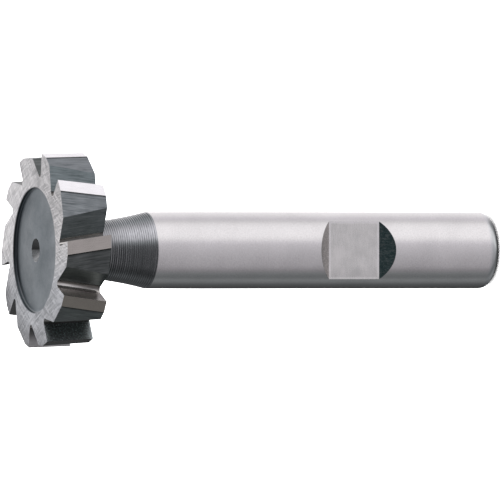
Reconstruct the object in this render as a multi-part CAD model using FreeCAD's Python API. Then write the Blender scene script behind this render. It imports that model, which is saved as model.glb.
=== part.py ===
import FreeCAD, Part
import math
import os

# Keyseat cutter with staggered teeth, made of one piece of high-speed steel.
# Frame: the origin is the centre of the shank's end face and +Z runs along the axis to the cutting head.
# The clamping flat faces -Y. The cutter turns counter-clockwise as seen from its front face.
# Lengths are in millimetres and angles in degrees.

# Overall sizes
overall_length = 63.0
head_diameter = 25.5
head_width = 6.0
shank_diameter = 10.0

# Neck: a turned taper with a hollow line
neck_length = 9.3
neck_diameter = 7.2
neck_hollow = 0.22
neck_fillet = 0.4

# Shank end: rounded edge
end_round_radius = 1.6
end_round_length = 1.5

# Centre holes, one at each end
centre_mouth_diameter = 3.0
centre_pilot_diameter = 1.6
centre_hole_depth = 3.2
centre_cone_angle = 60.0
pilot_point_angle = 118.0

# Clamping flat for a side screw
flat_length = 7.0
flat_centre = 20.0
flat_from_axis = 3.3
flat_end_slope = 45.0

# Recess in the front face, with a floor that rises to the centre
recess_diameter = 16.2
recess_depth = 0.5
recess_middle_depth = 0.22
recess_fillet = 0.2

# Teeth: each one slants the other way from its neighbours
tooth_count = 10
tooth_slant = 8.6
first_tooth_angle = 7.0
land_width = 1.7
land_relief = 6.5
back_relief = 26.5
rake = 5.0
gullet_depth = 3.1
gullet_angle = 53.0
gullet_root_radius = 0.5

# Stock on the blank that the tooth cuts take away, and how far each cut runs past the metal
blank_stock = 0.5
cut_overrun = 1.0

# Derived sizes
shank_radius = shank_diameter / 2
neck_radius = neck_diameter / 2
head_radius = head_diameter / 2
recess_radius = recess_diameter / 2
head_rear = overall_length - head_width
shank_length = head_rear - neck_length
tooth_pitch = 360.0 / tooth_count
flat_direction = -90.0


def tangent(degrees):
    return math.tan(math.radians(degrees))


def polar(radius, degrees):
    """Point of the tooth plane: u runs forward round the head and v outward; degrees count forward from v."""
    return radius * math.sin(math.radians(degrees)), radius * math.cos(math.radians(degrees))


def profile_point(radius, height):
    """Point of the turned profile, which is drawn on the flat's side of the axis."""
    return FreeCAD.Vector(0, -radius, height)


def straight(start, end):
    return Part.LineSegment(start, end).toShape()


def curved(start, middle, end):
    return Part.Arc(start, middle, end).toShape()


def rounded_corner(before, corner, after, radius):
    """Start, middle and end of the arc that rounds a corner between two straight lines."""
    back = (before - corner).normalize()
    ahead = (after - corner).normalize()
    half_angle = back.getAngle(ahead) / 2
    reach = radius / math.tan(half_angle)
    centre = corner + (back + ahead).normalize() * (radius / math.sin(half_angle))
    middle = centre + (corner - centre).normalize() * radius
    return corner + back * reach, middle, corner + ahead * reach


def centre_hole(mouth_height, inward):
    """Points of a centre hole from its tip on the axis out to its mouth; inward is +1 or -1 along Z."""
    mouth = centre_mouth_diameter / 2
    pilot = centre_pilot_diameter / 2
    cone_depth = (mouth - pilot) / tangent(centre_cone_angle / 2)
    point_depth = pilot / tangent(pilot_point_angle / 2)
    depths = [
        (0, centre_hole_depth + point_depth),
        (pilot, centre_hole_depth),
        (pilot, cone_depth),
        (mouth, 0),
    ]
    return [profile_point(radius, mouth_height + inward * depth) for radius, depth in depths]


def chain(points):
    return [straight(start, end) for start, end in zip(points, points[1:])]


def shank_end_edges():
    """Rear centre hole, end face and the rounded edge, up to the plain shank."""
    hole = centre_hole(0, 1)
    arc_centre = shank_radius - end_round_radius
    face_angle = math.asin(end_round_length / end_round_radius)
    start = profile_point(arc_centre + end_round_radius * math.cos(face_angle), 0)
    middle = profile_point(
        arc_centre + end_round_radius * math.cos(face_angle / 2),
        end_round_length - end_round_radius * math.sin(face_angle / 2),
    )
    end = profile_point(shank_radius, end_round_length)
    return chain(hole + [start]) + [curved(start, middle, end)], hole[0], end


def neck_edges(shank_start):
    """Plain shank, hollow neck and the fillet under the head, out to the blank's rim."""
    shank_end = profile_point(shank_radius, shank_length)
    neck_end = profile_point(neck_radius, head_rear - neck_fillet)
    along = neck_end - shank_end
    inward = FreeCAD.Vector(0, along.z, -along.y).normalize()
    neck_middle = (shank_end + neck_end) * 0.5 + inward * neck_hollow
    fillet_middle = profile_point(
        neck_radius + neck_fillet * (1 - math.cos(math.pi / 4)),
        head_rear - neck_fillet * (1 - math.sin(math.pi / 4)),
    )
    fillet_end = profile_point(neck_radius + neck_fillet, head_rear)
    blank_rear = profile_point(head_radius + blank_stock, head_rear)
    edges = [
        straight(shank_start, shank_end),
        curved(shank_end, neck_middle, neck_end),
        curved(neck_end, fillet_middle, fillet_end),
        straight(fillet_end, blank_rear),
    ]
    return edges, blank_rear


def front_edges(blank_rear):
    """Rim, front face, recess with its rising floor and the front centre hole, in to the axis."""
    blank_front = profile_point(head_radius + blank_stock, overall_length)
    rim = profile_point(recess_radius, overall_length)
    foot = profile_point(recess_radius, overall_length - recess_depth)
    hole = centre_hole(overall_length - recess_middle_depth, -1)
    start, middle, end = rounded_corner(rim, foot, hole[-1], recess_fillet)
    edges = [
        straight(blank_rear, blank_front),
        straight(blank_front, rim),
        straight(rim, start),
        curved(start, middle, end),
    ]
    return edges + chain([end] + hole[::-1]), hole[0]


def turned_blank():
    """The whole cutter as it leaves the lathe, before the flat and the teeth are milled."""
    end_edges, rear_tip, shank_start = shank_end_edges()
    middle_edges, blank_rear = neck_edges(shank_start)
    head_edges, front_tip = front_edges(blank_rear)
    edges = end_edges + middle_edges + head_edges + [straight(front_tip, rear_tip)]
    outline = Part.Wire(Part.__sortEdges__(edges))
    return Part.Face(outline).revolve(FreeCAD.Vector(0, 0, 0), FreeCAD.Vector(0, 0, 1), 360)


def clamping_flat_cut():
    """Trapezoid bar that mills the flat, with sloped ends, across the shank."""
    depth = shank_radius + cut_overrun - flat_from_axis
    half_floor = flat_length / 2
    half_mouth = half_floor + depth * tangent(90.0 - flat_end_slope)
    corners = [
        (flat_from_axis, flat_centre - half_floor),
        (flat_from_axis, flat_centre + half_floor),
        (flat_from_axis + depth, flat_centre + half_mouth),
        (flat_from_axis + depth, flat_centre - half_mouth),
    ]
    half_bar = shank_radius + cut_overrun
    points = [FreeCAD.Vector(out, -half_bar, height) for out, height in corners]
    bar = Part.Face(Part.makePolygon(points + points[:1])).extrude(FreeCAD.Vector(0, 2 * half_bar, 0))
    return bar.rotate(FreeCAD.Vector(0, 0, 0), FreeCAD.Vector(0, 0, 1), flat_direction)


def tooth_cut_outline():
    """Edges of one tooth's cut at half the head's width, in the tooth plane (u forward, v outward).

    The line runs up the cutting face, over the tip, back along the land and the tooth's back,
    outside the blank, and down the gullet's far wall to its round root.
    """
    half_shift = tangent(tooth_slant) * head_width / 2
    tip = (0.0, math.sqrt(head_radius ** 2 - half_shift ** 2))
    land_end = (-land_width, tip[1] - land_width * tangent(land_relief))

    wall_angle = math.radians(rake + gullet_angle)
    face_angle = math.radians(rake)
    bisector = math.radians(rake + gullet_angle / 2)
    root_v = tip[1] - gullet_depth + gullet_root_radius
    root_u = gullet_root_radius / math.cos(face_angle) - (tip[1] - root_v) * math.tan(face_angle)

    def on_root(direction_u, direction_v):
        return root_u + gullet_root_radius * direction_u, root_v + gullet_root_radius * direction_v

    face_foot = on_root(-math.cos(face_angle), math.sin(face_angle))
    root_bottom = on_root(-math.sin(bisector), -math.cos(bisector))
    wall_foot = on_root(math.cos(wall_angle), -math.sin(wall_angle))

    nearest_tip = tooth_pitch - 2 * math.degrees(math.atan(half_shift / tip[1]))
    back_span = nearest_tip - tooth_pitch / 8
    slope = tangent(back_relief)
    span_slope = tangent(back_span)
    back_run = (land_end[1] * span_slope + land_end[0]) / (1 + slope * span_slope)
    back_end = (land_end[0] - back_run, land_end[1] - back_run * slope)

    outer_radius = 1.5 * head_radius
    along = wall_foot[0] * math.sin(wall_angle) + wall_foot[1] * math.cos(wall_angle)
    inside = outer_radius ** 2 - wall_foot[0] ** 2 - wall_foot[1] ** 2
    wall_run = math.sqrt(along ** 2 + inside) - along
    wall_end = (wall_foot[0] + wall_run * math.sin(wall_angle), wall_foot[1] + wall_run * math.cos(wall_angle))

    ring = [face_foot, tip, land_end, back_end, polar(outer_radius, -back_span), polar(outer_radius, 0)]
    return ring + [wall_end, wall_foot], root_bottom


def tooth_cut(index):
    """Slanted prism that mills the gullet before one tooth and backs off the tooth behind its edge."""
    lean = tangent(tooth_slant) * (1 if index % 2 == 0 else -1)
    angle = math.radians(flat_direction + first_tooth_angle + index * tooth_pitch)
    outward = FreeCAD.Vector(math.cos(angle), math.sin(angle), 0)
    forward = FreeCAD.Vector(-math.sin(angle), math.cos(angle), 0)
    rear_reach = head_width / 2 + cut_overrun
    base = forward * (lean * rear_reach) + FreeCAD.Vector(0, 0, head_rear - cut_overrun)
    sweep = forward * (-2 * lean * rear_reach) + FreeCAD.Vector(0, 0, 2 * rear_reach)

    def place(point):
        return base + forward * point[0] + outward * point[1]

    ring, root_bottom = tooth_cut_outline()
    points = [place(point) for point in ring]
    root = curved(points[-1], place(root_bottom), points[0])
    outline = Part.Wire(chain(points) + [root])
    return Part.Face(outline).extrude(sweep)


def keyseat_cutter():
    tooth_cuts = [tooth_cut(index) for index in range(tooth_count)]
    return turned_blank().cut([clamping_flat_cut()] + tooth_cuts)


cutter = keyseat_cutter()
print("solids", len(cutter.Solids), "faces", len(cutter.Faces), "valid", cutter.isValid())
print("volume", round(cutter.Volume, 1), "box", cutter.BoundBox)
os.makedirs("parts", exist_ok=True)
cutter.Solids[0].exportStep("parts/keyseat_cutter.step")
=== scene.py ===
# %% [markdown]
# # A keyseat cutter, dressed for the camera
# The real object is one bar of high-speed steel: a ground shank, a turned neck and a head with ten
# milled teeth that slant left and right in turn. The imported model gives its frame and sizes.
# Here it gets a finely made skin with one finish for each way the steel was worked.

# %% Load the frame
import math
import bpy
import bmesh
from mathutils import Matrix, Vector


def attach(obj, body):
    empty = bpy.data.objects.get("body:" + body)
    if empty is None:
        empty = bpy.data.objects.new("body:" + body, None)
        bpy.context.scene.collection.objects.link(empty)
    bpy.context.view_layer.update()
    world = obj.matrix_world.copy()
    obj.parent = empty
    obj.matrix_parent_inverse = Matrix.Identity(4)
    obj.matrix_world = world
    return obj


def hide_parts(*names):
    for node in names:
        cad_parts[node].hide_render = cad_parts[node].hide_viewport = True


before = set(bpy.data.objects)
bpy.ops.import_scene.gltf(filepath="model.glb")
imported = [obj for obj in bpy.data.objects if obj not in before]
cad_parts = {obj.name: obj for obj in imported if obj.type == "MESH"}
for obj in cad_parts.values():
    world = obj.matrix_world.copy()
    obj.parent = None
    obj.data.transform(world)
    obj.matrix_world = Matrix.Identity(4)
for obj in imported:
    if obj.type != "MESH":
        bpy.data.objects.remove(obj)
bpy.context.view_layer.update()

# %% [markdown]
# ## Sizes
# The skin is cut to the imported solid's sizes: millimetres, with heights from the shank's end. They
# could be read off the solid's mesh, but a list like the one on a drawing is easier to follow. The
# mesh stays in millimetres until the very end, and MM turns a length into metres.

# %% Sizes
MM = 0.001
FRONT, HEAD_REAR, HEAD_RADIUS = 63.0, 57.0, 12.75
SHANK_RADIUS, END_ROUND = 5.0, 1.5
NECK_START, NECK_END, NECK_RADIUS = 47.7, 56.6, 3.6
FLAT_CENTRE, FLAT_HALF_LENGTH, FLAT_FROM_AXIS = 20.0, 3.5, 3.3
RECESS_RADIUS, CENTRE_RADIUS, PILOT_RADIUS = 8.1, 1.5, 0.8
TOOTH_COUNT = 10
print("length", FRONT, "head", 2 * HEAD_RADIUS, "shank", 2 * SHANK_RADIUS)

# %% [markdown]
# ## Camera
# The photograph looks 20 degrees down on the standing cutter through a long lens, with the camera
# rolled a quarter turn, so that the cutter lies across the frame with its head on the left.
# A shifted lens would also place it, but aiming at the middle of the shank needs no shift at all.

# %% Aim the camera
CAMERA_TILT = math.radians(19.73)
CAMERA_DISTANCE = 1458 * MM
HEAD_FRONT = Vector((0, 0, FRONT * MM))
AIM_POINT = Vector((0.03, 0, 33.22)) * MM
LENS, FARTHEST_SEEN = 814.1, 20

eye = HEAD_FRONT + CAMERA_DISTANCE * Vector((0, -math.cos(CAMERA_TILT), math.sin(CAMERA_TILT)))
away = (eye - AIM_POINT).normalized()
frame_right = Vector((1, 0, 0)).cross(away).normalized()
frame_up = away.cross(frame_right)

camera = bpy.data.objects.new("camera", bpy.data.cameras.new("camera"))
camera.data.lens, camera.data.clip_end = LENS, FARTHEST_SEEN
turned = Matrix((frame_right, frame_up, away)).transposed()
camera.matrix_world = Matrix.Translation(eye) @ turned.to_4x4()
bpy.context.scene.collection.objects.link(camera)
bpy.context.scene.camera = camera
print("camera at", [round(v, 4) for v in eye])

# %% [markdown]
# ## A small kit for node trees
# Every finish and the studio are node trees. One helper adds a node, sets or links its inputs and
# hands it back, and the others name its common uses, so that the later cells read as a recipe.

# %% Node helpers
WHITE = (1, 1, 1, 1)


def add_node(tree, kind, inputs=None, **settings):
    node = tree.nodes.new(kind)
    for name, value in settings.items():
        setattr(node, name, value)
    for socket, value in (inputs or {}).items():
        if isinstance(value, bpy.types.NodeSocket):
            tree.links.new(value, node.inputs[socket])
        else:
            node.inputs[socket].default_value = value
    return node


def math_node(tree, operation, first, second=0.0, third=0.0):
    return add_node(tree, "ShaderNodeMath", {0: first, 1: second, 2: third}, operation=operation).outputs[0]


def axes(tree, place):
    """The x, y and z of a place."""
    return add_node(tree, "ShaderNodeSeparateXYZ", {0: place}).outputs


def share_across(tree, value, width):
    """Turns a value from minus to plus half the width into 0 to 1."""
    return math_node(tree, "MULTIPLY_ADD", value, 1 / width, 0.5)


def spread(tree, value, start, end, first=0.0, last=1.0, **settings):
    inputs = {0: value, 1: start, 2: end, 3: first, 4: last}
    return add_node(tree, "ShaderNodeMapRange", inputs, **settings).outputs[0]


def mixed(tree, share, first, second, **settings):
    return add_node(tree, "ShaderNodeMix", {0: share, 6: first, 7: second}, data_type="RGBA", **settings).outputs[2]


def multiplied(tree, first, second):
    return mixed(tree, 1.0, first, second, blend_type="MULTIPLY")


def ramp_node(tree, factor, stops, interpolation="LINEAR"):
    ramp = add_node(tree, "ShaderNodeValToRGB", {0: factor})
    ramp.color_ramp.interpolation = interpolation
    elements = ramp.color_ramp.elements
    while len(elements) < len(stops):
        elements.new(0.5)
    for element, (place, shade) in zip(elements, stops):
        element.position = place
        element.color = (*shade, 1) if isinstance(shade, tuple) else (shade, shade, shade, 1)
    return ramp.outputs[0]


print("node helpers ready")

# %% [markdown]
# ## Bands of the studio
# Bare steel shows little but its surroundings, so the light is a painted dome. Each band is a
# direction round the cutter, from -180 to 180 degrees with 0 in front of the clamping flat, and the
# grey that ground steel should show there. There are four rings of bands: looking down, level, a
# little up and high up. Measured light from a real studio could do the same, but bands can be
# tuned one at a time.

# %% Bands
STEEL_SHARE = 0.76
PALE = (1.0, 0.965, 0.985)
MIDDLE = (1.0, 0.952, 1.005)
DIM = (0.965, 1.0, 1.03)
LILAC = (1.04, 1.0, 1.05)


def linear(grey):
    """Scene light for a grey of the finished picture, 0 to 255."""
    part = grey / 255
    return part / 12.92 if part <= 0.04045 else ((part + 0.055) / 1.055) ** 2.4


def steel_light(grey, tint):
    """The light that makes ground steel show a grey."""
    light = linear(grey) / STEEL_SHARE
    return tuple(light * part for part in tint)


def bands(*stops):
    return [((degrees + 180) / 360, steel_light(grey, tint)) for degrees, grey, tint in stops]


low_bands = bands(
    (-180, 66, DIM), (-148, 60, DIM), (-131, 73, DIM), (-123, 81, DIM), (-111, 104, DIM), (-101, 114, DIM),
    (-91, 98, DIM), (-83, 99, DIM), (-75, 109, DIM), (-64, 123, MIDDLE), (-55, 142, MIDDLE),
    (-46, 152, MIDDLE), (-30, 159, MIDDLE), (-14, 168, MIDDLE), (1, 177, MIDDLE), (17, 187, MIDDLE),
    (26, 202, MIDDLE), (33, 217, PALE), (39, 225, PALE), (49, 229, PALE), (75, 227, PALE), (88, 215, PALE),
    (96, 198, PALE), (105, 192, MIDDLE), (116, 202, MIDDLE), (129, 217, PALE), (150, 228, PALE),
    (166, 232, PALE), (176, 232, PALE), (180, 80, DIM))
level_bands = bands(
    (-180, 190, PALE), (-150, 84, DIM), (-125, 66, DIM), (-102, 76, DIM), (-82, 50, DIM), (-70, 50, DIM),
    (-52, 66, DIM), (-20, 68, DIM), (0, 72, DIM), (15, 90, DIM), (25, 140, DIM), (38, 208, LILAC),
    (57, 232, LILAC), (72, 222, LILAC), (86, 185, LILAC), (104, 156, DIM), (122, 130, DIM), (138, 118, DIM),
    (149, 124, DIM), (158, 214, PALE), (180, 204, PALE))
side_bands = bands(
    (-180, 191, PALE), (-160, 181, PALE), (-138, 150, DIM), (-90, 128, DIM), (-60, 136, MIDDLE),
    (-34, 120, MIDDLE), (28, 120, MIDDLE), (50, 200, PALE), (90, 190, PALE), (138, 160, DIM),
    (160, 193, PALE), (180, 205, PALE))
high_bands = bands(
    (-180, 150, DIM), (-120, 130, DIM), (-60, 112, DIM), (-30, 86, DIM), (20, 78, DIM), (60, 90, DIM),
    (90, 110, DIM), (180, 150, DIM))
print("dome stops", len(low_bands), len(level_bands), len(side_bands), len(high_bands))

# %% [markdown]
# ## Dome of light
# The rings of bands blend into each other by elevation, with a plain cap on top and a dim ground
# below that brightens behind the cutter. Lamps with cards would stand in the way of other views,
# so the dome is the world itself. Only reflections read it: the floor and the background get plain
# white light.

# %% Light dome
GROUND_TINT = (0.74, 0.78, 0.77, 1)
PLAIN_LIGHT = (3.2, 3.2, 3.2, 1)

world = bpy.data.worlds.new("studio")
bpy.context.scene.world = world
world.use_nodes = True
sky = world.node_tree
sky.nodes.clear()
direction = axes(sky, add_node(sky, "ShaderNodeTexCoord").outputs["Generated"])
toward_camera = math_node(sky, "MULTIPLY", direction[1], -1.0)
turn = share_across(sky, math_node(sky, "ARCTAN2", direction[0], toward_camera), 2 * math.pi)
elevation = math_node(sky, "MULTIPLY", math_node(sky, "ARCSINE", direction[2]), 180 / math.pi)

low = ramp_node(sky, turn, low_bands)
behind = spread(sky, direction[1], -0.15, 0.25, interpolation_type="SMOOTHSTEP")
dome = mixed(sky, behind, multiplied(sky, low, GROUND_TINT), (*steel_light(118, DIM), 1))
layers = [
    (low, -50, -26),
    (ramp_node(sky, turn, level_bands), -18, -8),
    (ramp_node(sky, turn, side_bands), 6, 20),
    (ramp_node(sky, turn, high_bands), 22, 42),
    ((*steel_light(190, MIDDLE), 1), 76, 86),
]
for layer, start, end in layers:
    dome = mixed(sky, spread(sky, elevation, start, end, interpolation_type="SMOOTHSTEP"), dome, layer)
in_mirror = add_node(sky, "ShaderNodeLightPath").outputs["Is Glossy Ray"]
glow = add_node(sky, "ShaderNodeBackground", {0: mixed(sky, in_mirror, PLAIN_LIGHT, dome)})
add_node(sky, "ShaderNodeOutputWorld", {0: glow.outputs[0]})
world.cycles.sampling_method = "NONE"
bpy.context.scene.view_settings.view_transform = "Standard"
print("dome layers", len(layers))

# %% [markdown]
# ## Back light
# In the photograph the front face brightens towards the far side, which a far dome can't do. A small
# soft panel close behind the head does: only the far part of the face mirrors it. The camera
# doesn't see it.

# %% Soft panel
PANEL_SIZE, PANEL_POWER = (90 * MM, 26 * MM), 0.0022

panel = bpy.data.objects.new("soft_panel", bpy.data.lights.new("soft_panel", "AREA"))
panel.data.shape = "RECTANGLE"
panel.data.size, panel.data.size_y = PANEL_SIZE
panel.data.energy = PANEL_POWER
panel.location = (0, 62 * MM, 70 * MM)
panel.rotation_euler = (math.radians(-90), 0, 0)
panel.visible_camera = False
bpy.context.scene.collection.objects.link(panel)
print("panel faces", [round(v, 2) for v in panel.rotation_euler.to_matrix() @ Vector((0, 0, -1))])

# %% [markdown]
# ## Floor
# A plain white sheet under the cutter. It is a stage and no part of the object. Its own mirror
# image would cover the dome's lower half in the steel, so reflections look through it.

# %% Floor sheet
FLOOR_RADIUS = 1.6
PAPER = {"Base Color": (0.9, 0.9, 0.9, 1), "Roughness": 1.0, "Specular IOR Level": 0.0}

floor_mesh = bpy.data.meshes.new("floor")
bm = bmesh.new()
bmesh.ops.create_circle(bm, cap_ends=True, segments=64, radius=FLOOR_RADIUS)
bm.to_mesh(floor_mesh)
bm.free()
floor = bpy.data.objects.new("floor", floor_mesh)
bpy.context.scene.collection.objects.link(floor)
floor.visible_glossy = False
paper = bpy.data.materials.new("studio_paper")
paper.use_nodes = True
for socket, value in PAPER.items():
    paper.node_tree.nodes["Principled BSDF"].inputs[socket].default_value = value
floor_mesh.materials.append(paper)
print("floor radius", FLOOR_RADIUS, "m")

# %% [markdown]
# ## Grain, shared by every finish
# Turning, milling and grinding all leave lines, so one node group draws them. It stretches a noise
# by a vector, which gives lines along the axis that is stretched least, and adds broad patches.
# Each finish places the group with its own stretch and contrast.

# %% Grain group
def new_group(name, sockets):
    group = bpy.data.node_groups.new(name, "ShaderNodeTree")
    for label, kind, side, start in sockets:
        socket = group.interface.new_socket(name=label, in_out=side, socket_type=kind)
        if start is not None:
            socket.default_value = start
    return group, group.nodes.new("NodeGroupInput"), group.nodes.new("NodeGroupOutput")


grain, grain_in, grain_out = new_group("machined_grain", [
    ("Place", "NodeSocketVector", "INPUT", None),
    ("Stretch", "NodeSocketVector", "INPUT", (1.0, 1.0, 1.0)),
    ("Patch Size", "NodeSocketFloat", "INPUT", 0.4),
    ("Lines", "NodeSocketFloat", "OUTPUT", None),
    ("Patches", "NodeSocketFloat", "OUTPUT", None),
])
place = grain_in.outputs["Place"]
stretched = add_node(grain, "ShaderNodeVectorMath", {0: place, 1: grain_in.outputs["Stretch"]}, operation="MULTIPLY")
fine = add_node(grain, "ShaderNodeTexNoise",
                {"Vector": stretched.outputs[0], "Scale": 1.0, "Detail": 4.0, "Roughness": 0.65})
broad = add_node(grain, "ShaderNodeTexNoise",
                 {"Vector": place, "Scale": grain_in.outputs["Patch Size"], "Detail": 3.0})
for noise, label in ((fine, "Lines"), (broad, "Patches")):
    grain.links.new(spread(grain, noise.outputs["Fac"], 0.28, 0.72), grain_out.inputs[label])
print("group", grain.name)

# %% [markdown]
# ## Wheel marks
# The front face was ground with a cup wheel, whose rim leaves long shallow arcs that cross. The
# group measures the distance from a point off to the side and draws noise along it.

# %% Wheel mark group
marks, marks_in, marks_out = new_group("wheel_marks", [
    ("Place", "NodeSocketVector", "INPUT", None),
    ("Wheel Centre", "NodeSocketVector", "INPUT", (20.0, 10.0, 0.0)),
    ("Fineness", "NodeSocketFloat", "INPUT", 6.0),
    ("Marks", "NodeSocketFloat", "OUTPUT", None),
])
place = marks_in.outputs["Place"]
reach = add_node(marks, "ShaderNodeVectorMath", {0: place, 1: marks_in.outputs["Wheel Centre"]}, operation="DISTANCE")
across = math_node(marks, "MULTIPLY", reach.outputs["Value"], marks_in.outputs["Fineness"])
along = add_node(marks, "ShaderNodeVectorMath", {0: place, 3: 0.35}, operation="SCALE").outputs[0]
step = add_node(marks, "ShaderNodeCombineXYZ", {2: across}).outputs[0]
spot = add_node(marks, "ShaderNodeVectorMath", {0: along, 1: step}, operation="ADD").outputs[0]
drawn = add_node(marks, "ShaderNodeTexNoise", {"Vector": spot, "Scale": 1.0, "Detail": 3.0, "Roughness": 0.6})
marks.links.new(spread(marks, drawn.outputs["Fac"], 0.3, 0.7), marks_out.inputs["Marks"])
print("group", marks.name)

# %% [markdown]
# ## Finish recipe
# All finishes are the same bare steel. They differ in how dark the cut left it, how rough it is and
# which way the lines run. So one recipe makes them, with the lines feeding colour, roughness and a
# very shallow bump. A finish may also change along the piece: its shade multiplies the colour.

# %% Finish recipe
FINISHES = {}
WHEEL_CONTRAST = 0.21


def with_wheel_marks(tree, place, lines, wheel):
    """Mixes the marks of each wheel, given as its centre and fineness, evenly into the lines."""
    for count, (centre, fineness) in enumerate(wheel, start=1):
        ground_marks = add_node(tree, "ShaderNodeGroup", node_tree=marks)
        tree.links.new(place, ground_marks.inputs["Place"])
        ground_marks.inputs["Wheel Centre"].default_value = centre
        ground_marks.inputs["Fineness"].default_value = fineness
        lines = add_node(tree, "ShaderNodeMix", {0: 1 / (count + 1), 2: lines, 3: ground_marks.outputs[0]}).outputs[0]
    half = WHEEL_CONTRAST / math.sqrt(len(wheel))
    return spread(tree, lines, 0.5 - half, 0.5 + half)


def steel_finish(name, dark, light, roughness, stretch, patch_size=0.4, patch_share=0.4, relief=0.002,
                 by_surface=False, wheel=None, shade=None):
    """Bare steel. Colours are for the lines' depths and crests; relief is the lines' height in mm."""
    material = bpy.data.materials.new(name)
    material.use_nodes = True
    tree = material.node_tree
    shader = tree.nodes["Principled BSDF"]
    shader.inputs["Metallic"].default_value = 1.0
    coordinates = add_node(tree, "ShaderNodeTexCoord").outputs
    in_millimetres = {0: coordinates["Object"], 3: 1 / MM}
    place = coordinates["UV"] if by_surface else add_node(
        tree, "ShaderNodeVectorMath", in_millimetres, operation="SCALE").outputs[0]
    grained = add_node(tree, "ShaderNodeGroup", node_tree=grain)
    tree.links.new(place, grained.inputs["Place"])
    grained.inputs["Stretch"].default_value = stretch
    grained.inputs["Patch Size"].default_value = patch_size
    lines = grained.outputs["Lines"]
    if wheel:
        lines = with_wheel_marks(tree, place, lines, wheel)
    blend = add_node(tree, "ShaderNodeMix", {0: patch_share, 2: lines, 3: grained.outputs["Patches"]}).outputs[0]
    colour = mixed(tree, blend, (*dark, 1), (*light, 1))
    if shade:
        colour = multiplied(tree, colour, shade(tree, place))
    rough = spread(tree, blend, 0.0, 1.0, roughness[1], roughness[0])
    bump = add_node(tree, "ShaderNodeBump", {"Strength": 1.0, "Distance": relief * MM, "Height": lines}).outputs[0]
    for value, socket in ((colour, "Base Color"), (rough, "Roughness"), (bump, "Normal")):
        tree.links.new(value, shader.inputs[socket])
    FINISHES[name] = material
    print("finish", name)


# %% [markdown]
# ## Shank and neck
# The shank is ground bright. Its rounded end darkens to the rim as a painted reflection of the bench.
# The neck is only turned: painted glints darken some of its furrows and lighten their crests, and
# painted shade darkens it towards the head. A picture of the glints could be painted, but ramps of
# the height follow the real furrows exactly.

# %% Finishes of the shank and the neck
RIM_HEIGHT, RING_COUNT = 2.0, 32


def painted_rim_shade(tree, place):
    """Painted reflection of the bench: darkens the rounded end towards its end face."""
    return ramp_node(tree, math_node(tree, "DIVIDE", axes(tree, place)[2], RIM_HEIGHT),
                     [(0.0, 0.09), (0.2, 0.13), (0.31, 0.74), (0.40, 1.0)])


def painted_rings_and_head_shade(tree, place):
    """Painted glints: darkens the neck's furrows and lightens their crests in patches. Painted shade darkens the
    whole neck towards the head.
    """
    height = math_node(tree, "SUBTRACT", axes(tree, place)[2], NECK_START)
    along = math_node(tree, "DIVIDE", height, NECK_END - NECK_START)
    furrow = math_node(tree, "FRACT", math_node(tree, "MULTIPLY", along, RING_COUNT))
    ring_glints = ramp_node(tree, furrow, [(0.0, 0.66), (0.25, 0.58), (0.55, 1.28), (0.85, 1.28), (1.0, 0.66)])
    patches = add_node(tree, "ShaderNodeTexNoise", {"Vector": place, "Scale": 1.6, "Detail": 2.0}).outputs["Fac"]
    uneven = mixed(tree, spread(tree, patches, 0.35, 0.65, last=0.75), ring_glints, WHITE)
    head_shade = ramp_node(tree, along, [(0.0, 1.0), (0.4, 0.98), (0.6, 0.75), (0.78, 0.56), (1.0, 0.45)])
    return multiplied(tree, uneven, head_shade)


steel_finish("ground_shank", (0.69, 0.69, 0.69), (0.87, 0.87, 0.87), (0.13, 0.22), (5.0, 5.0, 8.0),
             patch_size=0.25, patch_share=0.35, relief=0.0005)
steel_finish("rounded_end", (0.68, 0.69, 0.70), (0.82, 0.83, 0.84), (0.16, 0.24), (3.0, 3.0, 12.0),
             relief=0.0005, shade=painted_rim_shade)
steel_finish("turned_neck", (0.375, 0.39, 0.40), (0.59, 0.61, 0.625), (0.12, 0.26), (1.5, 1.5, 5.0),
             patch_share=0.3, relief=0.0008, shade=painted_rings_and_head_shade)

# %% [markdown]
# ## Faces of the head
# The front ring is ground bright with crossing wheel marks. A painted sheen makes it brightest on its
# far upper side, and painted shade makes it dull and bluish below, most so at the low tips. The
# recess is darker; painted shade darkens it away from the flat and in its corner, and a painted light
# brightens the corner at its low side. Painted shade darkens one side of each centre hole, and a
# painted highlight lightens a band of the other. The shades go by direction and distance from the
# axis, as the eye finds them on a disc.

# %% Finishes of the head's faces
def from_axis(tree, place, radius):
    """Distance from the tool's axis as a share of a radius."""
    scale = (1 / radius, 1 / radius, 0.0)
    level = add_node(tree, "ShaderNodeVectorMath", {0: place, 1: scale}, operation="MULTIPLY").outputs[0]
    return add_node(tree, "ShaderNodeVectorMath", {0: level}, operation="LENGTH").outputs["Value"]


def painted_sheen(tree, place):
    """Painted sheen brightens the front ring on its far upper side; painted shade dulls it and tints it bluish below,
    most at the low tips.
    """
    parts = axes(tree, place)
    turn = math_node(tree, "ARCTAN2", parts[0], math_node(tree, "MULTIPLY", parts[1], -1.0))
    round_face = share_across(tree, turn, 2 * math.pi)
    bluish, dull_below = (0.94, 0.985, 1.03), 0.72
    stops = [(-180, 0.92), (-150, 0.64), (-120, 0.66), (-90, 0.65), (-60, 0.58), (-30, 0.71), (0, 0.92),
             (30, 0.8), (60, 0.8), (90, 0.84), (120, 0.98), (150, 1.04), (180, 0.96)]
    sheen = ramp_node(tree, round_face, [
        ((degrees + 180) / 360, tuple(share * part for part in bluish) if share < dull_below else share)
        for degrees, share in stops])
    tip = ramp_node(tree, from_axis(tree, place, HEAD_RADIUS), [(0.68, 1.0), (0.84, 0.74), (0.98, 0.36)])
    low_side = ramp_node(tree, round_face, [(0.03, 0.0), (0.08, 0.9), (0.2, 1.0), (0.26, 0.6), (0.34, 0.0)])
    return mixed(tree, low_side, sheen, multiplied(tree, sheen, tip))


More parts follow.
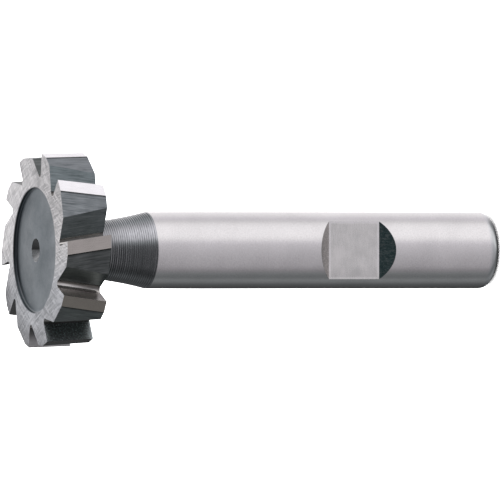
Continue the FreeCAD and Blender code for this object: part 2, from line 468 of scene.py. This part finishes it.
def painted_recess_light_and_shade(tree, place):
    """Painted shade dulls the recess away from the flat and darkens its corner; a painted light brightens the corner
    on the low side.
    """
    parts = axes(tree, place)
    side = ramp_node(tree, share_across(tree, parts[1], 2 * RECESS_RADIUS), [(0.5, 1.0), (0.7, 0.84), (1.0, 0.84)])
    outward = from_axis(tree, place, RECESS_RADIUS)
    # Painted shade darkens the corner; on the low side a painted light brightens it instead.
    corner = ramp_node(tree, outward, [(0.962, 1.0), (0.985, 0.55), (1.0, 0.7)])
    lit_low_corner = ramp_node(tree, outward, [(0.94, 1.0), (0.97, 1.4), (0.99, (2.2, 1.95, 1.85)), (1.0, 1.1)])
    low_side = ramp_node(tree, share_across(tree, parts[0], 2 * RECESS_RADIUS), [(0.12, 1.0), (0.3, 0.0)])
    return multiplied(tree, side, mixed(tree, low_side, corner, lit_low_corner))


def painted_hole_light_and_shade(tree, place):
    """Painted shade darkens one half of a centre hole, and a painted highlight lightens a band of the other."""
    return ramp_node(tree, share_across(tree, axes(tree, place)[0], 2 * CENTRE_RADIUS),
                     [(0.0, 0.66), (0.25, 0.82), (0.36, 1.12), (0.47, 1.12), (0.56, 0.21), (1.0, 0.16)])


steel_finish("head_back", (0.36, 0.36, 0.37), (0.5, 0.5, 0.51), (0.25, 0.4), (1.0, 1.0, 4.0),
             wheel=[((0, 0, 0), 5.0)])
steel_finish("ground_front", (0.50, 0.50, 0.505), (1.0, 1.0, 1.0), (0.2, 0.42), (6.0, 6.0, 6.0),
             patch_share=0.12, relief=0.006, wheel=[((34, -26, 0), 15.0), ((-40, -18, 0), 15.0)],
             shade=painted_sheen)
steel_finish("recess_floor", (0.178, 0.211, 0.231), (0.242, 0.277, 0.301), (0.32, 0.42), (5.0, 5.0, 5.0),
             relief=0.0008, wheel=[((0, 0, 0), 4.0)], shade=painted_recess_light_and_shade)
steel_finish("centre_hole", (0.66, 0.67, 0.68), (0.86, 0.86, 0.87), (0.2, 0.35), (2.0, 2.0, 8.0),
             relief=0.001, shade=painted_hole_light_and_shade)

# %% [markdown]
# ## Clamping flat
# The flat's floor is ground, with a painted highlight just inside its border and painted shade along
# its low edge. Of its two sloped ends, the one by the rounded end is painted a dark teal as a painted
# reflection, with fine scratches. Each could be a piece of its own with one colour, but then the
# border would end in a hard line.

# %% Finishes of the flat
FLAT_HALF_WIDTH, FLAT_WIDTH = 3.757, 7.5


def painted_flat_light_and_shade(tree, place):
    """Painted highlight just inside the flat's border, and painted shade along its low edge."""
    parts = axes(tree, place)
    from_middle = math_node(tree, "ABSOLUTE", math_node(tree, "SUBTRACT", parts[2], FLAT_CENTRE))
    aside = math_node(tree, "ABSOLUTE", parts[0])
    outside = math_node(tree, "MAXIMUM", math_node(tree, "SUBTRACT", from_middle, FLAT_HALF_LENGTH),
                        math_node(tree, "SUBTRACT", aside, FLAT_HALF_WIDTH))
    border = ramp_node(tree, math_node(tree, "ADD", outside, 1.0),
                       [(0.0, 0.95), (0.66, 0.95), (0.84, 1.2), (1.0, 1.1)])
    low_side = ramp_node(tree, share_across(tree, parts[0], FLAT_WIDTH),
                         [(0.0, 0.86), (0.1, 0.89), (0.24, 1.0), (1.0, 1.0)])
    return multiplied(tree, border, low_side)


def painted_teal_end(tree, place):
    """Painted reflection: a dark teal with scratch-like noise on the sloped end that lies nearer to the rounded end.
    """
    drawn = add_node(tree, "ShaderNodeVectorMath", {0: place, 1: (4.5, 2.0, 2.0)}, operation="MULTIPLY").outputs[0]
    scratches = add_node(tree, "ShaderNodeTexNoise", {"Vector": drawn, "Scale": 1.0, "Detail": 3.0, "Roughness": 0.7})
    teal_reflection = ramp_node(tree, scratches.outputs["Fac"],
                      [(0.38, (0.22, 0.39, 0.42)), (0.5, (0.31, 0.51, 0.54)), (0.66, (0.66, 0.84, 0.87))])
    return mixed(tree, math_node(tree, "GREATER_THAN", axes(tree, place)[2], FLAT_CENTRE), teal_reflection, WHITE)


steel_finish("clamping_flat", (0.83, 0.84, 0.82), (1.0, 1.0, 0.98), (0.2, 0.34), (0.6, 3.0, 7.0),
             patch_size=0.7, patch_share=0.5, relief=0.001, shade=painted_flat_light_and_shade)
steel_finish("flat_shoulder", (0.40, 0.36, 0.35), (0.74, 0.67, 0.66), (0.2, 0.3), (7.0, 1.5, 1.5),
             patch_share=0.2, shade=painted_teal_end)

# %% [markdown]
# ## Which tooth, and how far across its cut
# Each tooth has its own tint, brown from the grinding heat on some and lighter or darker as painted
# light and shade on many, so its finishes must know where they are. A tooth's map starts a fixed step
# after the last one's, with a margin, and runs on across the cut: land, back, gullet wall, root and
# cutting face. This group turns the map into the tooth's number, as a share of all teeth, and the
# distance across its cut. A material for each tooth would do the same with ten times as many
# materials.

# %% Tooth place group
TOOTH_MAP, MAP_MARGIN = 60.0, 12.0

teeth, teeth_in, teeth_out = new_group("tooth_place", [
    ("Place", "NodeSocketVector", "INPUT", None),
    ("Tooth", "NodeSocketFloat", "OUTPUT", None),
    ("Across", "NodeSocketFloat", "OUTPUT", None),
])
around = axes(teeth, teeth_in.outputs["Place"])[1]
teeth.links.new(math_node(teeth, "DIVIDE", around, TOOTH_MAP * TOOTH_COUNT), teeth_out.inputs["Tooth"])
within = math_node(teeth, "WRAP", around, TOOTH_MAP, 0.0)
teeth.links.new(math_node(teeth, "SUBTRACT", within, MAP_MARGIN), teeth_out.inputs["Across"])
print("group", teeth.name)

# %% [markdown]
# ## Teeth
# A tooth's land and back are ground, its gullet and cutting face are milled, and some took brown
# tints from the heat; each tooth's faces are also lighter or darker as painted light and shade. The
# lines follow the cut by the surface's own map. Each back has a painted shade line along its top, the
# root is painted dark but for a painted highlight line near its bottom, which fades towards the
# head's back, and one cutting face has coarse dark pits.

# %% Shades of the teeth
BACK_TOP = 4.0
ROOT_START, ROOT_LENGTH = 40.59, 1.33
PITTED_TOOTH = 8


def tooth_place(tree, place, output):
    """The tooth's number or the distance across its cut, from the shared group."""
    return add_node(tree, "ShaderNodeGroup", {0: place}, node_tree=teeth).outputs[output]


def by_tooth(tints):
    """A shade that gives each tooth its own tint."""
    stops = [(index / len(tints), tint) for index, tint in enumerate(tints)]
    return lambda tree, place: ramp_node(tree, tooth_place(tree, place, "Tooth"), stops, "CONSTANT")


def painted_top_shade(tree, place):
    """The backs' tints and painted light, with a painted shade line along each back under its land."""
    across = math_node(tree, "DIVIDE", tooth_place(tree, place, "Across"), BACK_TOP)
    top = ramp_node(tree, across, [(0.0, 0.25), (0.45, 0.25), (0.51, 1.0)])
    return multiplied(tree, by_tooth(BACK_TINT_AND_LIGHT)(tree, place), top)


def pitted(tree, place):
    """The cutting faces' tints and painted light, with pits on one of them."""
    pits = add_node(tree, "ShaderNodeTexNoise", {"Vector": place, "Scale": 4.2, "Detail": 3.0, "Roughness": 0.7})
    pits = ramp_node(tree, pits.outputs["Fac"], [(0.3, 0.6), (0.48, 0.9), (0.56, 1.1), (0.68, 2.0)])
    here = by_tooth([float(index == PITTED_TOOTH) for index in range(TOOTH_COUNT)])(tree, place)
    return multiplied(tree, by_tooth(CUT_TINT_AND_LIGHT)(tree, place), mixed(tree, here, WHITE, pits))


def painted_root_highlight(tree, place):
    """A painted highlight line near the bottom of a root painted dark, clear at the front and faded at the back."""
    across = math_node(tree, "SUBTRACT", tooth_place(tree, place, "Across"), ROOT_START)
    across = math_node(tree, "DIVIDE", across, ROOT_LENGTH)
    line = ramp_node(tree, across, [(0.0, 0.35), (0.38, 0.35), (0.5, 1.6), (0.66, 1.6), (0.8, 0.7), (1.0, 0.7)])
    faded = ramp_node(tree, across, [(0.0, 0.35), (0.45, 0.38), (0.6, 0.55), (0.75, 1.0), (1.0, 1.2)])
    return mixed(tree, spread(tree, axes(tree, place)[0], 2.6, 6.2), faded, line)


# BROWN is a heat tint. The bright tint and the plain numbers are painted light and shade: they make each tooth's
# faces lighter or darker as the light falls on them.
BROWN, PAINTED_LIGHT = (0.70, 0.685, 0.64), (1.175, 1.21, 1.235)
LAND_TINT_AND_LIGHT = [BROWN, PAINTED_LIGHT, PAINTED_LIGHT, 0.95, 0.9, 0.85, 0.95, 0.6, 0.5, (0.71, 0.675, 0.60)]
WALL_LIGHT = [(1.08, 1.13, 1.16), (1.75, 1.88, 1.98)] + [1.0] * 7 + [(0.76, 0.80, 0.80)]
CUT_TINT_AND_LIGHT = [1.0] * 8 + [(0.99, 1.11, 1.11), (1.6, 1.54, 1.47)]
BACK_TINT_AND_LIGHT = [(0.60, 0.60, 0.567), 1.04, 1.06, 0.9, 1.0, 0.85, 1.0, 0.9, 0.85, (1.2, 1.2, 1.135)]
print("tints", len(LAND_TINT_AND_LIGHT), len(WALL_LIGHT), len(CUT_TINT_AND_LIGHT), len(BACK_TINT_AND_LIGHT))

# %% [markdown]
# ## Five finishes for the teeth
# One finish for each of the five faces that a cut leaves. The ground land is bright and nearly
# smooth, the milled faces are dark and deeply lined, and the root is polished by the chips. One
# finish for all five would hide where one tool stopped and the next began.

# %% Finishes of the teeth
steel_finish("ground_land", (0.72, 0.70, 0.70), (0.86, 0.84, 0.84), (0.2, 0.3), (0.6, 9.0, 1.0),
             relief=0.0012, by_surface=True, shade=by_tooth(LAND_TINT_AND_LIGHT))
steel_finish("milled_back", (0.105, 0.12, 0.127), (0.385, 0.42, 0.438), (0.26, 0.42), (0.3, 4.6, 1.0),
             patch_size=0.5, patch_share=0.25, relief=0.006, by_surface=True, shade=painted_top_shade)
steel_finish("milled_gullet", (0.07, 0.082, 0.08), (0.25, 0.27, 0.266), (0.3, 0.45), (0.4, 5.0, 1.0),
             patch_share=0.3, relief=0.006, by_surface=True, shade=by_tooth(WALL_LIGHT))
steel_finish("gullet_root", (0.25, 0.25, 0.24), (0.70, 0.69, 0.66), (0.10, 0.26), (0.8, 7.0, 1.0),
             patch_share=0.3, relief=0.004, by_surface=True, shade=painted_root_highlight)
steel_finish("cutting_face", (0.34, 0.34, 0.34), (0.55, 0.55, 0.55), (0.25, 0.38), (0.6, 7.0, 1.0),
             by_surface=True, shade=pitted)
SLOTS = list(FINISHES)


def dress(mesh):
    for material in FINISHES.values():
        mesh.materials.append(material)


print("finishes", len(SLOTS))

# %% [markdown]
# ## Turned blank
# On the lathe the bar gets its rounded end, the hollow neck with its feed rings, the head's blank,
# the recess and a centre hole at each end. A cylinder could be cut up for this, but a line that is
# spun round the axis makes all of it at once, and the rings are real. The line is a list of
# (radius, height) points, from the tip of one centre hole to that of the other.

# %% Line of the blank
BLANK_RADIUS = HEAD_RADIUS + 0.5
END_RADIUS, NECK_FILLET, RECESS_FILLET = 1.6, 0.4, 0.2
SHANK_RINGS, NECK_EDGE = (8, 16, 24, 32, 40), (4.97, 47.62)
FURROW_DEPTH, NECK_HOLLOW = 0.014, 0.22
RECESS_EDGE, RECESS_CORNER, RECESS_FLOOR = 0.07, 62.709, (4.5, 62.653)
CENTRE_MOUTH = 62.78


def arc(centre, radius, start, end, steps):
    angles = [math.radians(start + (end - start) * step / steps) for step in range(steps + 1)]
    return [(centre[0] + radius * math.cos(angle), centre[1] + radius * math.sin(angle)) for angle in angles]


def feed_rings():
    """The neck's hollow line with the lathe tool's furrows, which drop steeply on the head's side."""
    shape = [(0.0, 0.0), (0.2, 1.0), (0.5, 0.75), (0.8, 0.4)]
    points = []
    for ring in range(RING_COUNT):
        uneven = 1 + 0.3 * math.sin(2.4 * ring) * math.sin(0.9 * ring + 1)
        for step, drop in shape:
            along = (ring + step) / RING_COUNT
            hollow = NECK_HOLLOW * 4 * along * (1 - along)
            radius = SHANK_RADIUS + (NECK_RADIUS - SHANK_RADIUS) * along - hollow - FURROW_DEPTH * uneven * drop
            points.append((radius, NECK_START + (NECK_END - NECK_START) * along))
    return points + [(NECK_RADIUS, NECK_END)]


def centre_hole(mouth, inward, sink=0.0):
    """From the tip of a centre hole out to its mouth, whose edge is broken."""
    depths = [(0, 3.681), (PILOT_RADIUS, 3.2), (PILOT_RADIUS, 1.212), (CENTRE_RADIUS - 0.03, 0.05),
              (CENTRE_RADIUS + 0.03, sink)]
    return [(radius, mouth + inward * depth) for radius, depth in depths]


blank_line = centre_hole(0, 1) + [(3.9, 0)]
blank_line += arc((SHANK_RADIUS - END_RADIUS, END_ROUND), END_RADIUS, -69.6, 0, 9)
blank_line += [(SHANK_RADIUS, height) for height in SHANK_RINGS] + [NECK_EDGE] + feed_rings()[1:]
blank_line += arc((NECK_RADIUS + NECK_FILLET, NECK_END), NECK_FILLET, 180, 90, 4)[1:]
blank_line += [(radius, HEAD_REAR) for radius in (7, 10, BLANK_RADIUS)]
blank_line += [(radius, FRONT) for radius in (BLANK_RADIUS, 10.5, RECESS_RADIUS + RECESS_EDGE)]
blank_line += [(RECESS_RADIUS, FRONT - RECESS_EDGE)]
blank_line += arc((RECESS_RADIUS - RECESS_FILLET, RECESS_CORNER), RECESS_FILLET, 0, -87.6, 5)
blank_line += [RECESS_FLOOR]
blank_line += centre_hole(CENTRE_MOUTH, -1, sink=0.002)[::-1]
print("points in the line", len(blank_line))

# %% [markdown]
# ## Spin the blank
# One full turn of the line gives the blank. The tool marks differ from one stretch of the line to
# the next, so each face takes its finish from its place. Each part could be spun on its own, but
# then they would have to be joined.

# %% Spin the blank
SPIN_STEPS = 192
CLOSE = 0.0005


def turned_finish(face):
    """The finish of a face by its middle. Small margins keep a broken edge with the face beside it."""
    centre = face.calc_center_median()
    radius, height = math.hypot(centre.x, centre.y), centre.z
    if radius < CENTRE_RADIUS + 0.02:
        return "centre_hole"
    if height < END_ROUND:
        return "rounded_end"
    if height < NECK_START:
        return "ground_shank"
    if height < HEAD_REAR - 0.05:
        return "turned_neck"
    if radius < RECESS_RADIUS + 0.02 and height > FRONT - 1:
        return "recess_floor"
    return "ground_front" if height > FRONT - 0.06 else "head_back"


bm = bmesh.new()
line = [bm.verts.new((radius, 0, height)) for radius, height in blank_line]
for first, second in zip(line, line[1:]):
    bm.edges.new((first, second))
bmesh.ops.spin(bm, geom=bm.verts[:] + bm.edges[:], cent=(0, 0, 0), axis=(0, 0, 1), dvec=(0, 0, 0),
               angle=2 * math.pi, steps=SPIN_STEPS, use_merge=True)
bmesh.ops.remove_doubles(bm, verts=bm.verts[:], dist=CLOSE)
bmesh.ops.recalc_face_normals(bm, faces=bm.faces[:])
surface = bm.loops.layers.uv.new("surface")
for face in bm.faces:
    face.material_index = SLOTS.index(turned_finish(face))
    face.smooth = True
    for loop in face.loops:
        loop[surface].uv = (loop.vert.co.z, math.hypot(loop.vert.co.x, loop.vert.co.y))
blank_mesh = bpy.data.meshes.new("turned_blank")
bm.to_mesh(blank_mesh)
print("blank faces", len(bm.faces), "open edges", sum(edge.is_boundary for edge in bm.edges))
bm.free()
dress(blank_mesh)
blank = bpy.data.objects.new("turned_blank", blank_mesh)
bpy.context.scene.collection.objects.link(blank)

# %% [markdown]
# ## Milling cuts
# The real flat and teeth are milled, so here each is a bar that takes steel away with a Boolean
# cut. The faces of a bar already carry the finish that the cut leaves, and their own map, whose
# first axis runs along the cut, so the milling lines follow each tooth's slant.

# %% Bar helper
def milling_bar(name, corners, place, sweep, finishes, rounded=(), map_start=0.0):
    """A bar from an outline of (u, v) corners. finishes names the finish left along each side."""
    bm = bmesh.new()
    surface = bm.loops.layers.uv.new("surface")
    outline = [bm.verts.new(place(corner)) for corner in corners]
    base = bm.faces.new(outline)
    grown = bmesh.ops.extrude_face_region(bm, geom=[base], use_keep_orig=True)
    moved = [item for item in grown["geom"] if isinstance(item, bmesh.types.BMVert)]
    bmesh.ops.translate(bm, verts=moved, vec=sweep)
    lengths = [0.0]
    for first, second in zip(corners, corners[1:] + corners[:1]):
        lengths.append(lengths[-1] + math.dist(first, second))
    bm.verts.index_update()
    bm.faces.index_update()
    for face in bm.faces:
        starts = [index for index in range(len(outline))
                  if outline[index] in face.verts and outline[(index + 1) % len(outline)] in face.verts]
        if len(starts) != 1:
            face.material_index = SLOTS.index(finishes[0])
            continue
        side = starts[0]
        edge_end = outline[(side + 1) % len(outline)]
        face.material_index = SLOTS.index(finishes[side])
        face.smooth = side in rounded
        for loop in face.loops:
            far = loop.vert not in outline
            twin = loop.vert is edge_end or (far and (loop.vert.co - sweep - edge_end.co).length < 1e-4)
            loop[surface].uv = (sweep.length if far else 0.0, lengths[side + 1 if twin else side] + map_start)
    bmesh.ops.recalc_face_normals(bm, faces=bm.faces[:])
    mesh = bpy.data.meshes.new(name)
    bm.to_mesh(mesh)
    bm.free()
    dress(mesh)
    bar = bpy.data.objects.new(name, mesh)
    bpy.context.scene.collection.objects.link(bar)
    return bar


print("bar helper ready")

# %% [markdown]
# ## Flat and its sloped ends
# The flat is milled with one pass of a cutter whose sides slope at 45 degrees. So its bar has the
# shape of that pass: a floor as long as the flat, and two slopes that run out above the shank.

# %% Cut of the flat
BAR_DEPTH, BAR_REACH = 2.7, 6.0
flat_low, flat_high = FLAT_CENTRE - FLAT_HALF_LENGTH, FLAT_CENTRE + FLAT_HALF_LENGTH
clear = FLAT_FROM_AXIS + BAR_DEPTH
flat_outline = [(FLAT_FROM_AXIS, flat_low), (FLAT_FROM_AXIS, flat_high), (clear, flat_high + BAR_DEPTH),
                (clear, flat_low - BAR_DEPTH)]
bars = [milling_bar(
    "flat_cut", flat_outline, lambda corner: Vector((-BAR_REACH, -corner[0], corner[1])),
    Vector((2 * BAR_REACH, 0, 0)), ["clamping_flat", "flat_shoulder", "clamping_flat", "flat_shoulder"])]
print("flat from", flat_low, "to", flat_high)

# %% [markdown]
# ## Outline of a tooth's cut
# One slanted bar mills the gullet before a tooth and backs off the tooth behind its cutting edge.
# Its outline runs from the tip back along the land and the tooth's back, outside the blank, and
# down the gullet's wall, round its root and up the cutting face. Because the edge slants, its
# middle lies a little inside the head's circle, so that both of its ends reach it.

# %% Outline of a tooth's cut
PITCH, SLANT, FIRST_TOOTH = 36, 8.6, 7.0
LAND_WIDTH, LAND_RELIEF, BACK_RELIEF = 1.7, 6.5, 26.5
RAKE, WALL_ANGLE, GULLET_DEPTH, ROOT_RADIUS = 5, 58, 3.1, 0.5
ROOT_FROM, ROOT_TO = -32, -180 - RAKE
HALF_WIDTH = (FRONT - HEAD_REAR) / 2
OUTSIDE, WALL_RUN = 19.1, 9


def tangent(degrees):
    return math.tan(math.radians(degrees))


lean_share = tangent(SLANT)
tip = (0.0, math.sqrt(HEAD_RADIUS ** 2 - (HALF_WIDTH * lean_share) ** 2))
land_end = (-LAND_WIDTH, tip[1] - LAND_WIDTH * tangent(LAND_RELIEF))
root_v = tip[1] - GULLET_DEPTH + ROOT_RADIUS
root_u = ROOT_RADIUS / math.cos(math.radians(RAKE)) - (tip[1] - root_v) * tangent(RAKE)
root_arc = arc((root_u, root_v), ROOT_RADIUS, ROOT_FROM, ROOT_TO, 10)
back_span = PITCH - 2 * math.degrees(math.atan(HALF_WIDTH * lean_share / tip[1])) - PITCH / 8
back_run = (land_end[1] * tangent(back_span) + land_end[0]) / (1 + tangent(BACK_RELIEF) * tangent(back_span))
back_end = (land_end[0] - back_run, land_end[1] - back_run * tangent(BACK_RELIEF))
clear_end = (-OUTSIDE * math.sin(math.radians(back_span)), OUTSIDE * math.cos(math.radians(back_span)))
wall_end = (root_arc[0][0] + WALL_RUN * math.sin(math.radians(WALL_ANGLE)),
            root_arc[0][1] + WALL_RUN * math.cos(math.radians(WALL_ANGLE)))
tooth_outline = [tip, land_end, back_end, clear_end, (0.0, OUTSIDE), wall_end] + root_arc
root_sides = range(6, 6 + len(root_arc) - 1)
tooth_finishes = ["ground_land"] + ["milled_back"] * 4 + ["milled_gullet"]
tooth_finishes += ["gullet_root"] * len(root_sides) + ["cutting_face"]
print("corners of a tooth's cut", len(tooth_outline))

# %% [markdown]
# ## Ten tooth cuts
# Ten bars stand round the head, each leaning the other way from the last, and leave the staggered
# teeth. Turning one bar into copies would repeat the same lean and the same lines on each tooth, so
# each bar is made in its place.

# %% Ten tooth cuts
OVERRUN = 1
REACH = HALF_WIDTH + OVERRUN

for index in range(TOOTH_COUNT):
    lean = lean_share if index % 2 == 0 else -lean_share
    angle = math.radians(-90 + FIRST_TOOTH + PITCH * index)
    outward = Vector((math.cos(angle), math.sin(angle), 0))
    forward = Vector((-math.sin(angle), math.cos(angle), 0))
    start = forward * lean * REACH + Vector((0, 0, HEAD_REAR - OVERRUN))
    bars.append(milling_bar(
        f"tooth_cut_{index}", tooth_outline,
        lambda corner: start + forward * corner[0] + outward * corner[1],
        forward * (-2 * REACH * lean) + Vector((0, 0, 2 * REACH)), tooth_finishes, root_sides,
        map_start=TOOTH_MAP * index + MAP_MARGIN))
print("milling bars", len(bars))

# %% [markdown]
# ## Cut the blank
# The bars are taken away one after the other with Boolean modifiers, and the result is read back as
# a plain mesh. The exact solver keeps the thin edges, and by going on material numbers the cut
# faces keep the finishes of the bars.

# %% Cut the blank
for bar in bars:
    cut = blank.modifiers.new(bar.name, "BOOLEAN")
    cut.operation, cut.solver, cut.object = "DIFFERENCE", "EXACT", bar
    cut.material_mode = "INDEX"
bpy.context.view_layer.update()
milled = bpy.data.meshes.new_from_object(blank.evaluated_get(bpy.context.evaluated_depsgraph_get()))
for spare in [blank] + bars:
    bpy.data.objects.remove(spare)
print("milled faces", len(milled.polygons))

# %% [markdown]
# ## One finished piece
# The cut mesh is cleaned, the edge round the flat's sloped ends is broken as a file would, and the
# whole is scaled to metres. Turned faces and gullet roots are smooth, milled and ground faces flat,
# as on the real cutter. Sharp edges are marked by angle, because every real edge here is sharp.

# %% Finish the mesh
MERGE, EDGE_BREAK, SHARP = 0.0008, 0.09, math.radians(28)

bm = bmesh.new()
bm.from_mesh(milled)
bmesh.ops.remove_doubles(bm, verts=bm.verts[:], dist=MERGE)
bmesh.ops.dissolve_degenerate(bm, edges=bm.edges[:], dist=CLOSE)


def between(edge, *finishes):
    return sorted(SLOTS[face.material_index] for face in edge.link_faces) == sorted(finishes)


shoulder_edges = [edge for edge in bm.edges if between(edge, "flat_shoulder", "ground_shank")]
broken = bmesh.ops.bevel(bm, geom=shoulder_edges, affect="EDGES", offset=EDGE_BREAK, segments=2, profile=0.5,
                         material=-1, clamp_overlap=True)["faces"]
print("edges broken round the sloped ends", len(shoulder_edges))
for edge in bm.edges:
    beside = sum(face in broken for face in edge.link_faces)
    if beside == 1 or (len(edge.link_faces) == 2 and edge.calc_face_angle(0) > SHARP):
        edge.smooth = False
for face in bm.faces:
    if SLOTS[face.material_index] in ("ground_front", "clamping_flat", "flat_shoulder"):
        face.smooth = False
bmesh.ops.scale(bm, verts=bm.verts[:], vec=(MM, MM, MM))
print("open edges", sum(edge.is_boundary for edge in bm.edges), "faces", len(bm.faces),
      "volume mm3", round(bm.calc_volume() / MM ** 3, 1))
cutter_mesh = bpy.data.meshes.new("cutter_steel")
bm.to_mesh(cutter_mesh)
bm.free()
dress(cutter_mesh)
cutter = bpy.data.objects.new("cutter_steel", cutter_mesh)
bpy.context.scene.collection.objects.link(cutter)
print("triangles", sum(len(polygon.vertices) - 2 for polygon in cutter_mesh.polygons))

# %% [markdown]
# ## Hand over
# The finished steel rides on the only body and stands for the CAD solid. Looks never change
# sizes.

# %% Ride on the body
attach(cutter, "root")
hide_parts("keyseat_cutter")
